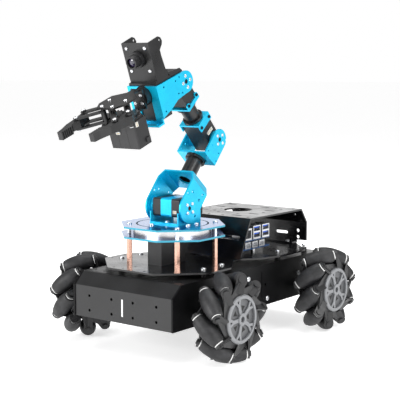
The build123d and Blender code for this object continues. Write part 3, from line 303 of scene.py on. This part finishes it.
def mesh_piece(name, parts, look, body):
    """One piece from (vertices, faces) parts, riding on a CAD body."""
    vertices, faces = [], []
    for part_vertices, part_faces in parts:
        base = len(vertices)
        vertices += [tuple(v) for v in part_vertices]
        faces += [[base + i for i in face] for face in part_faces]
    mesh = bpy.data.meshes.new(name)
    mesh.from_pydata(vertices, [], faces)
    mesh.materials.append(LOOKS[look])
    piece = bpy.data.objects.new(name, mesh)
    bpy.context.collection.objects.link(piece)
    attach(piece, body)
    return piece


def box_part(low, high):
    x0, y0, z0 = low
    x1, y1, z1 = high
    vertices = [Vector((x, y, z)) for z in (z0, z1) for x, y in ((x0, y0), (x1, y0), (x1, y1), (x0, y1))]
    faces = [(0, 3, 2, 1), (4, 5, 6, 7), (0, 1, 5, 4), (1, 2, 6, 5), (2, 3, 7, 6), (3, 0, 4, 7)]
    return vertices, faces


def wheels():
    """Side, end and name of every wheel."""
    for side, hand in ((-1, "left"), (1, "right")):
        for end, place in ((-1, "front"), (1, "rear")):
            yield side, end, f"{place}_{hand}"


def wheel_frame(side, end):
    """Frame of one wheel: Z out of its outer face."""
    centre = Vector((side * WHEEL_CENTRE[0], end * WHEEL_CENTRE[1], WHEEL_CENTRE[2]))
    face = Matrix.Rotation(math.radians(90 * side), 4, "Y")
    return Matrix.Translation(centre) @ face @ Matrix.Rotation(math.radians(90 - 90 * side), 4, "Z")


def ring_frame(side, end, index):
    """Frame of one roller: Z along the roller, X straight out from the wheel's axis."""
    turn = Matrix.Rotation(2 * math.pi * index / ROLLER_COUNT, 4, "Z")
    lean = Matrix.Rotation(math.radians(ROLLER_LEAN * side * end), 4, "X")
    return wheel_frame(side, end) @ turn @ Matrix.Translation((ROLLER_AXIS, 0, 0)) @ lean


def lathe_part(place, profile, sides=32):
    """Closed ring: a profile of (radius, height) corners turned round the Z axis of a place."""
    count = len(profile)
    vertices = []
    for i in range(sides):
        a = 2 * math.pi * i / sides
        vertices += [place @ Vector((r * math.cos(a), r * math.sin(a), z)) for r, z in profile]
    faces = []
    for i in range(sides):
        for k in range(count):
            here, beside = i * count, (i + 1) % sides * count
            faces.append((here + k, beside + k, beside + (k + 1) % count, here + (k + 1) % count))
    return vertices, faces


def washer_profile(inner, outer, low, high, ease=0.12 * MM):
    return [(inner, low), (outer - ease, low), (outer, low + ease), (outer, high - ease),
            (outer - ease, high), (inner, high)]


def prism_part(place, outline, low, high):
    """Extrudes an (x, y) outline between two heights of a place."""
    count = len(outline)
    vertices = [place @ Vector((x, y, z)) for z in (low, high) for x, y in outline]
    faces = [tuple(range(count - 1, -1, -1)), tuple(range(count, 2 * count))]
    faces += [(i, (i + 1) % count, (i + 1) % count + count, i + count) for i in range(count)]
    return vertices, faces


def capsule_outline(length, radius, steps=10):
    """Slot-shaped outline along Y."""
    outline = []
    for end, start in ((1, 0), (-1, math.pi)):
        for i in range(steps + 1):
            a = start + math.pi * i / steps
            outline.append((radius * math.cos(a), end * (length / 2 - radius) + radius * math.sin(a)))
    return outline


def eased_outline(x0, x1, y0, y1, ease):
    """Rectangle with its corners cut back a little."""
    return [(x0 + ease, y0), (x1 - ease, y0), (x1, y0 + ease), (x1, y1 - ease),
            (x1 - ease, y1), (x0 + ease, y1), (x0, y1 - ease), (x0, y0 + ease)]


def frame_at(place, up):
    """Frame with X to the robot's right and Z along a direction in the robot's middle plane."""
    z = Vector(up).normalized()
    x = Vector((1, 0, 0))
    y = z.cross(x)
    turn = Matrix((x, y, z)).transposed().to_4x4()
    return Matrix.Translation(Vector(place)) @ turn


JOINT = {joint["name"]: joint for joint in frame["joints"]}
SHOULDER_PIVOT = Vector(JOINT["shoulder_pitch"]["pos_m"])
ELBOW_PIVOT = Vector(JOINT["elbow_pitch"]["pos_m"])
WRIST_PIVOT = Vector(JOINT["wrist_pitch"]["pos_m"])
WORLD = Matrix.Identity(4)
LOWER_ARM = frame_at(SHOULDER_PIVOT, ELBOW_PIVOT - SHOULDER_PIVOT)
LOWER_ARM_END = frame_at(ELBOW_PIVOT, ELBOW_PIVOT - SHOULDER_PIVOT)
UPPER_ARM = frame_at(ELBOW_PIVOT, WRIST_PIVOT - ELBOW_PIVOT)
WRIST = frame_at(WRIST_PIVOT, JOINT["crank_turn_right"]["axis"])
TO_RIGHT = Matrix.Rotation(math.pi / 2, 4, "Y")
TO_FRONT = Matrix.Rotation(math.pi / 2, 4, "X")
TO_BELOW = Matrix.Rotation(math.pi, 4, "X")


def at(place, x, y, z, turn=WORLD):
    """Point of a place given in millimetres, with its Z turned to a face's outward direction."""
    return place @ Matrix.Translation((x * MM, y * MM, z * MM)) @ turn


def pan_head(place, radius, height):
    """Button head with a hexagon socket, standing on the place."""
    r, h = radius * MM, height * MM
    socket = 0.45 * r
    profile = [(socket, 0), (r, 0), (r, 0.45 * h), (0.85 * r, 0.85 * h), (0.6 * r, h), (socket, h)]
    cup = [(0, 0.25 * h), (socket, 0.25 * h), (socket, 0.3 * h), (0, 0.3 * h)]
    return [lathe_part(place, profile, 24), lathe_part(place, cup, 6)]


def painted_hub_window_shade():
    """Dark triangles in the forks and beside the boss of every hub, painted shade standing in for deep
    windows.

    They stand 2.2 mm clear of the CAD's sunk face, in front of the triangular pockets in it.
    """
    level = 13.8 * MM
    low, high = level - 0.2 * MM, level + 0.06 * MM
    fork = [(17.2 * MM, 0), (21.3 * MM, -2.1 * MM), (21.3 * MM, 2.1 * MM)]
    wedge = [(8.4 * MM, 0), (14.2 * MM, -3.2 * MM), (14.2 * MM, 3.2 * MM)]
    fork_start, wedge_start = 56, 20
    for side, end, name in wheels():
        parts = []
        for index in range(SPOKE_COUNT):
            for outline, start in ((fork, fork_start), (wedge, wedge_start)):
                turn = Matrix.Rotation(math.radians(360 / SPOKE_COUNT * index + start), 4, "Z")
                parts.append(prism_part(wheel_frame(side, end) @ turn, outline, low, high))
        # Painted shade: flat dark triangles in place of the shade inside the windows
        mesh_piece(f"painted_hub_window_shade_{name}", parts, "seam_dark", f"wheel_{name}")


def pivot_caps():
    """Black caps in the centre bores of the bracket cheeks."""
    bore, dimple = 2.45 * MM, 1.2 * MM
    back, shoulder, front = -1.9 * MM, -0.6 * MM, -0.35 * MM
    cap = [(0, back), (bore, back), (bore, shoulder), (dimple, front), (0, front)]
    shoulder_cheek, arm_cheek = 25.0, 20.3
    lower_arm = ((LOWER_ARM, shoulder_cheek), (LOWER_ARM_END, arm_cheek))
    for body, places in (("lower_arm", lower_arm), ("wrist", ((WRIST, arm_cheek),))):
        parts = []
        for place, half in places:
            for side in (-1, 1):
                turn = Matrix.Rotation(side * math.pi / 2, 4, "Y")
                parts.append(lathe_part(at(place, side * half, 0, 0, turn), cap, 24))
        mesh_piece(f"pivot_caps_{body}", parts, "black_screw", body)


def servo_connector(name, place, body, pins=6):
    """White shrouded connector with gold pins: Z of the place points out of the case."""
    half = pins * 0.85 * MM
    deep, inside = 1.7 * MM, 1.2 * MM
    wall, sunk, high = 0.5 * MM, -0.2 * MM, 1.3 * MM
    walls = ((-half, half, -deep, -deep + wall), (-half, half, deep - wall, deep),
             (-half, -half + wall, -inside, inside), (half - wall, half, -inside, inside))
    shroud = [prism_part(place, eased_outline(*wall_box, 0.08 * MM), sunk, high) for wall_box in walls]
    shroud.append(prism_part(place, eased_outline(-half, half, -deep, deep, 0.2 * MM), sunk, 0.3 * MM))
    mesh_piece(f"{name}_shroud", shroud, "connector_white", body)
    pitch, thin = 1.45 * MM, 0.25 * MM
    pin_parts = []
    for i in range(pins):
        x = (i - (pins - 1) / 2) * pitch
        outline = eased_outline(x - thin, x + thin, -thin, thin, 0.05 * MM)
        pin_parts.append(prism_part(place, outline, 0.2 * MM, 1.1 * MM))
    mesh_piece(f"{name}_pins", pin_parts, "gold_pin", body)


# Radius and height of the gripper's button heads, in millimetres
DECK_HEAD = (2.1, 1.4)
LINK_HEAD = (2.2, 1.2)


def gripper_details():
    """Screw heads on the decks and links, connectors and seams on the gripper servo."""
    deck_top, deck_low = 13.5, -8.5
    servo_front, servo_right = -95.5, 19
    heads = []
    for side in (-1, 1):
        for x, y in ((11, -90), (7, -107)):
            heads += pan_head(at(WRIST, side * x, y, deck_top), *DECK_HEAD)
        heads += pan_head(at(WRIST, side * 7, -107, deck_low, TO_BELOW), *DECK_HEAD)
    mesh_piece("gripper_deck_screws", heads, "steel_screw", "gripper")
    pivots = (("crank", 30.5, -111, 10.7, -5.7), ("idler", 26.5, -128, 9.1, -4.1))
    for side, hand in ((-1, "left"), (1, "right")):
        for piece, x, y, upper, lower in pivots:
            heads = pan_head(at(WRIST, side * x, y, upper), *LINK_HEAD)
            heads += pan_head(at(WRIST, side * x, y, lower, TO_BELOW), *LINK_HEAD)
            mesh_piece(f"{piece}_screws_{hand}", heads, "steel_screw", f"{piece}_{hand}")
    servo_connector("gripper_front_connector", at(WRIST, -5, servo_front, -20.5, TO_FRONT), "gripper", 3)
    servo_connector("gripper_side_connector", at(WRIST, servo_right, -91.5, -12, TO_RIGHT), "gripper", 3)
    plug_outline = eased_outline(-2.2 * MM, 2.2 * MM, -3.2 * MM, 3.2 * MM, 0.5 * MM)
    plug = prism_part(at(WRIST, servo_right, -80, -33, TO_RIGHT), plug_outline, -0.2 * MM, 1.6 * MM)
    mesh_piece("gripper_side_plug", [plug], "chip_black", "gripper")
    wide, tall = 0.2 * MM, 13.5 * MM
    seam_outline = [(-wide, -tall), (wide, -tall), (wide, tall), (-wide, tall)]
    for x, hand in ((-6.5, "left"), (6.5, "right")):
        place = at(WRIST, x, servo_front, -23.5, TO_FRONT)
        seam = prism_part(place, seam_outline, -0.1 * MM, 0.06 * MM)
        mesh_piece(f"gripper_servo_seam_{hand}", [seam], "seam_dark", "gripper")


def board_details():
    """Socket liners and tongues, chips and header pins of the computer."""
    top = 112.6
    single = ((top + 2.0, 9.5),)
    stacked = ((top + 2.0, 5.2), (top + 9.2, 5.2))
    dark, blue = [], []
    for y, levels in ((6, single), (23.5, stacked), (41.5, stacked)):
        for z, high in levels:
            dark.append(box_part((38.02 * MM, (y + 1.22) * MM, (z + 0.02) * MM),
                                 (43.0 * MM, (y + 13.28) * MM, (z + high - 0.02) * MM)))
            if levels is stacked:
                blue.append(box_part((42.9 * MM, (y + 2.6) * MM, (z + 1.5) * MM),
                                     (47.6 * MM, (y + 11.9) * MM, (z + 3.6) * MM)))
    chips = [((-14, 22), (15, 15, 1.4)), ((6, 24), (11, 11, 1.0)),
             ((-30, 14), (7, 5, 0.9)), ((20, 12), (6, 6, 0.9))]
    for (x, y), (wide, deep, high) in chips:
        outline = eased_outline(0, wide * MM, 0, deep * MM, 0.3 * MM)
        dark.append(prism_part(at(WORLD, x, y, top), outline, 0, high * MM))
    mesh_piece("socket_liners_and_chips", dark, "chip_black", "chassis")
    mesh_piece("socket_tongues", blue, "socket_blue", "chassis")
    first_x, pitch, thin = -24.6, 2.54, 0.3
    foot, tip = 121.05 * MM, 121.9 * MM
    pins = []
    for i in range(19):
        for y in (51.95, 53.05):
            x = first_x + pitch * i
            pins.append(box_part(((x - thin) * MM, (y - thin) * MM, foot),
                                 ((x + thin) * MM, (y + thin) * MM, tip)))
    mesh_piece("header_pins", pins, "gold_pin", "chassis")


def panel_light():
    """Pale light guide in the upright slot of the front panel."""
    place = at(WORLD, 0, -149.9, 54.0, TO_FRONT)
    outline = capsule_outline(18.9 * MM, 1.15 * MM)
    guide = prism_part(place, outline, -1.2 * MM, -0.1 * MM)
    mesh_piece("front_light_guide", [guide], "light_guide", "chassis")


def arm_details():
    """Connectors of the elbow and shoulder servos."""
    upright = TO_RIGHT @ Matrix.Rotation(math.pi / 2, 4, "Z")
    servo_connector("elbow_servo_connector", at(UPPER_ARM, 12.25, 0, 13.4, upright), "upper_arm")
    servo_connector("shoulder_servo_connector", at(WORLD, 13.0, -76.0, 149.5, TO_FRONT), "turret", 3)


def roller_washers():
    """White washers that show as crescents at both ends of every roller."""
    profile = washer_profile(1.4 * MM, 5.3 * MM, 17.14 * MM, 18.34 * MM)
    for side, end, name in wheels():
        parts = []
        for index in range(ROLLER_COUNT):
            place = ring_frame(side, end, index)
            parts.append(lathe_part(place, profile))
            parts.append(lathe_part(place @ TO_BELOW, profile))
        mesh_piece(f"roller_washers_{name}", parts, "washer_white", f"wheel_{name}")


# ---------------------------------------------------------------- floor, light and camera

# Strength of the white surroundings as a light, and as the camera sees them
SKY_LIGHT = 0.42
SKY_SEEN = 1.0


def floor_and_light():
    """Pale floor, white surroundings and four soft area lights."""
    mesh = bpy.data.meshes.new("floor")
    half = 30.0
    corners = [(-half, -half, 0), (half, -half, 0), (half, half, 0), (-half, half, 0)]
    mesh.from_pydata(corners, [], [(0, 1, 2, 3)])
    floor = bpy.data.objects.new("floor", mesh)
    bpy.context.collection.objects.link(floor)
    b = Build("floor").set(Roughness=0.6)
    b.colour(b.remap(b.noise(3, 2), 0, 1), (0.88, 0.88, 0.88), (0.9, 0.9, 0.9))
    b.set(Emission_Color=(1, 1, 1, 1), Emission_Strength=0.6)
    mesh.materials.append(b.material)

    world = bpy.data.worlds.new("studio")
    world.use_nodes = True
    tree = world.node_tree
    background = tree.nodes["Background"]
    background.inputs["Color"].default_value = (1, 1, 1, 1)
    seen = tree.nodes.new("ShaderNodeLightPath").outputs["Is Camera Ray"]
    strength = tree.nodes.new("ShaderNodeMapRange")
    strength.inputs["To Min"].default_value = SKY_LIGHT
    strength.inputs["To Max"].default_value = SKY_SEEN
    tree.links.new(seen, strength.inputs["Value"])
    tree.links.new(strength.outputs["Result"], background.inputs["Strength"])
    bpy.context.scene.world = world

    def area(name, place, aim, size, power):
        light = bpy.data.lights.new(name, "AREA")
        light.shape = "RECTANGLE"
        light.size, light.size_y = size
        light.energy = power
        lamp = bpy.data.objects.new(name, light)
        lamp.location = place
        lamp.rotation_euler = (Vector(aim) - Vector(place)).to_track_quat("-Z", "Y").to_euler()
        bpy.context.collection.objects.link(lamp)

    centre = (0, 0, 0.12)
    area("right", (1.3, -0.25, 0.75), centre, (0.5, 1.0), 13)
    area("front", (-0.55, -1.5, 0.55), centre, (0.9, 0.6), 17)
    area("top", (0, 0.1, 1.5), centre, (1.3, 1.3), 16)
    area("back", (-0.95, 1.25, 0.42), centre, (1.8, 0.6), 3.2)


AZIMUTH, ELEVATION = math.radians(37.43), math.radians(6.84)
TARGET = Vector((-0.01095, 0, 0.1542))
DISTANCE = 1.235
FOCAL_WIDTHS = 1061.8 / 400


def camera():
    """Camera at the photograph's angle."""
    data = bpy.data.cameras.new("camera")
    data.sensor_width = 36
    data.lens = data.sensor_width * FOCAL_WIDTHS
    back = Vector((math.sin(AZIMUTH) * math.cos(ELEVATION), -math.cos(AZIMUTH) * math.cos(ELEVATION),
                   math.sin(ELEVATION)))
    cam = bpy.data.objects.new("camera", data)
    cam.location = TARGET + DISTANCE * back
    cam.rotation_euler = back.to_track_quat("Z", "Y").to_euler()
    bpy.context.collection.objects.link(cam)
    bpy.context.scene.camera = cam


roller_washers()
painted_hub_window_shade()
pivot_caps()
gripper_details()
board_details()
panel_light()
arm_details()
floor_and_light()
camera()
bpy.context.scene.view_settings.view_transform = "Standard"
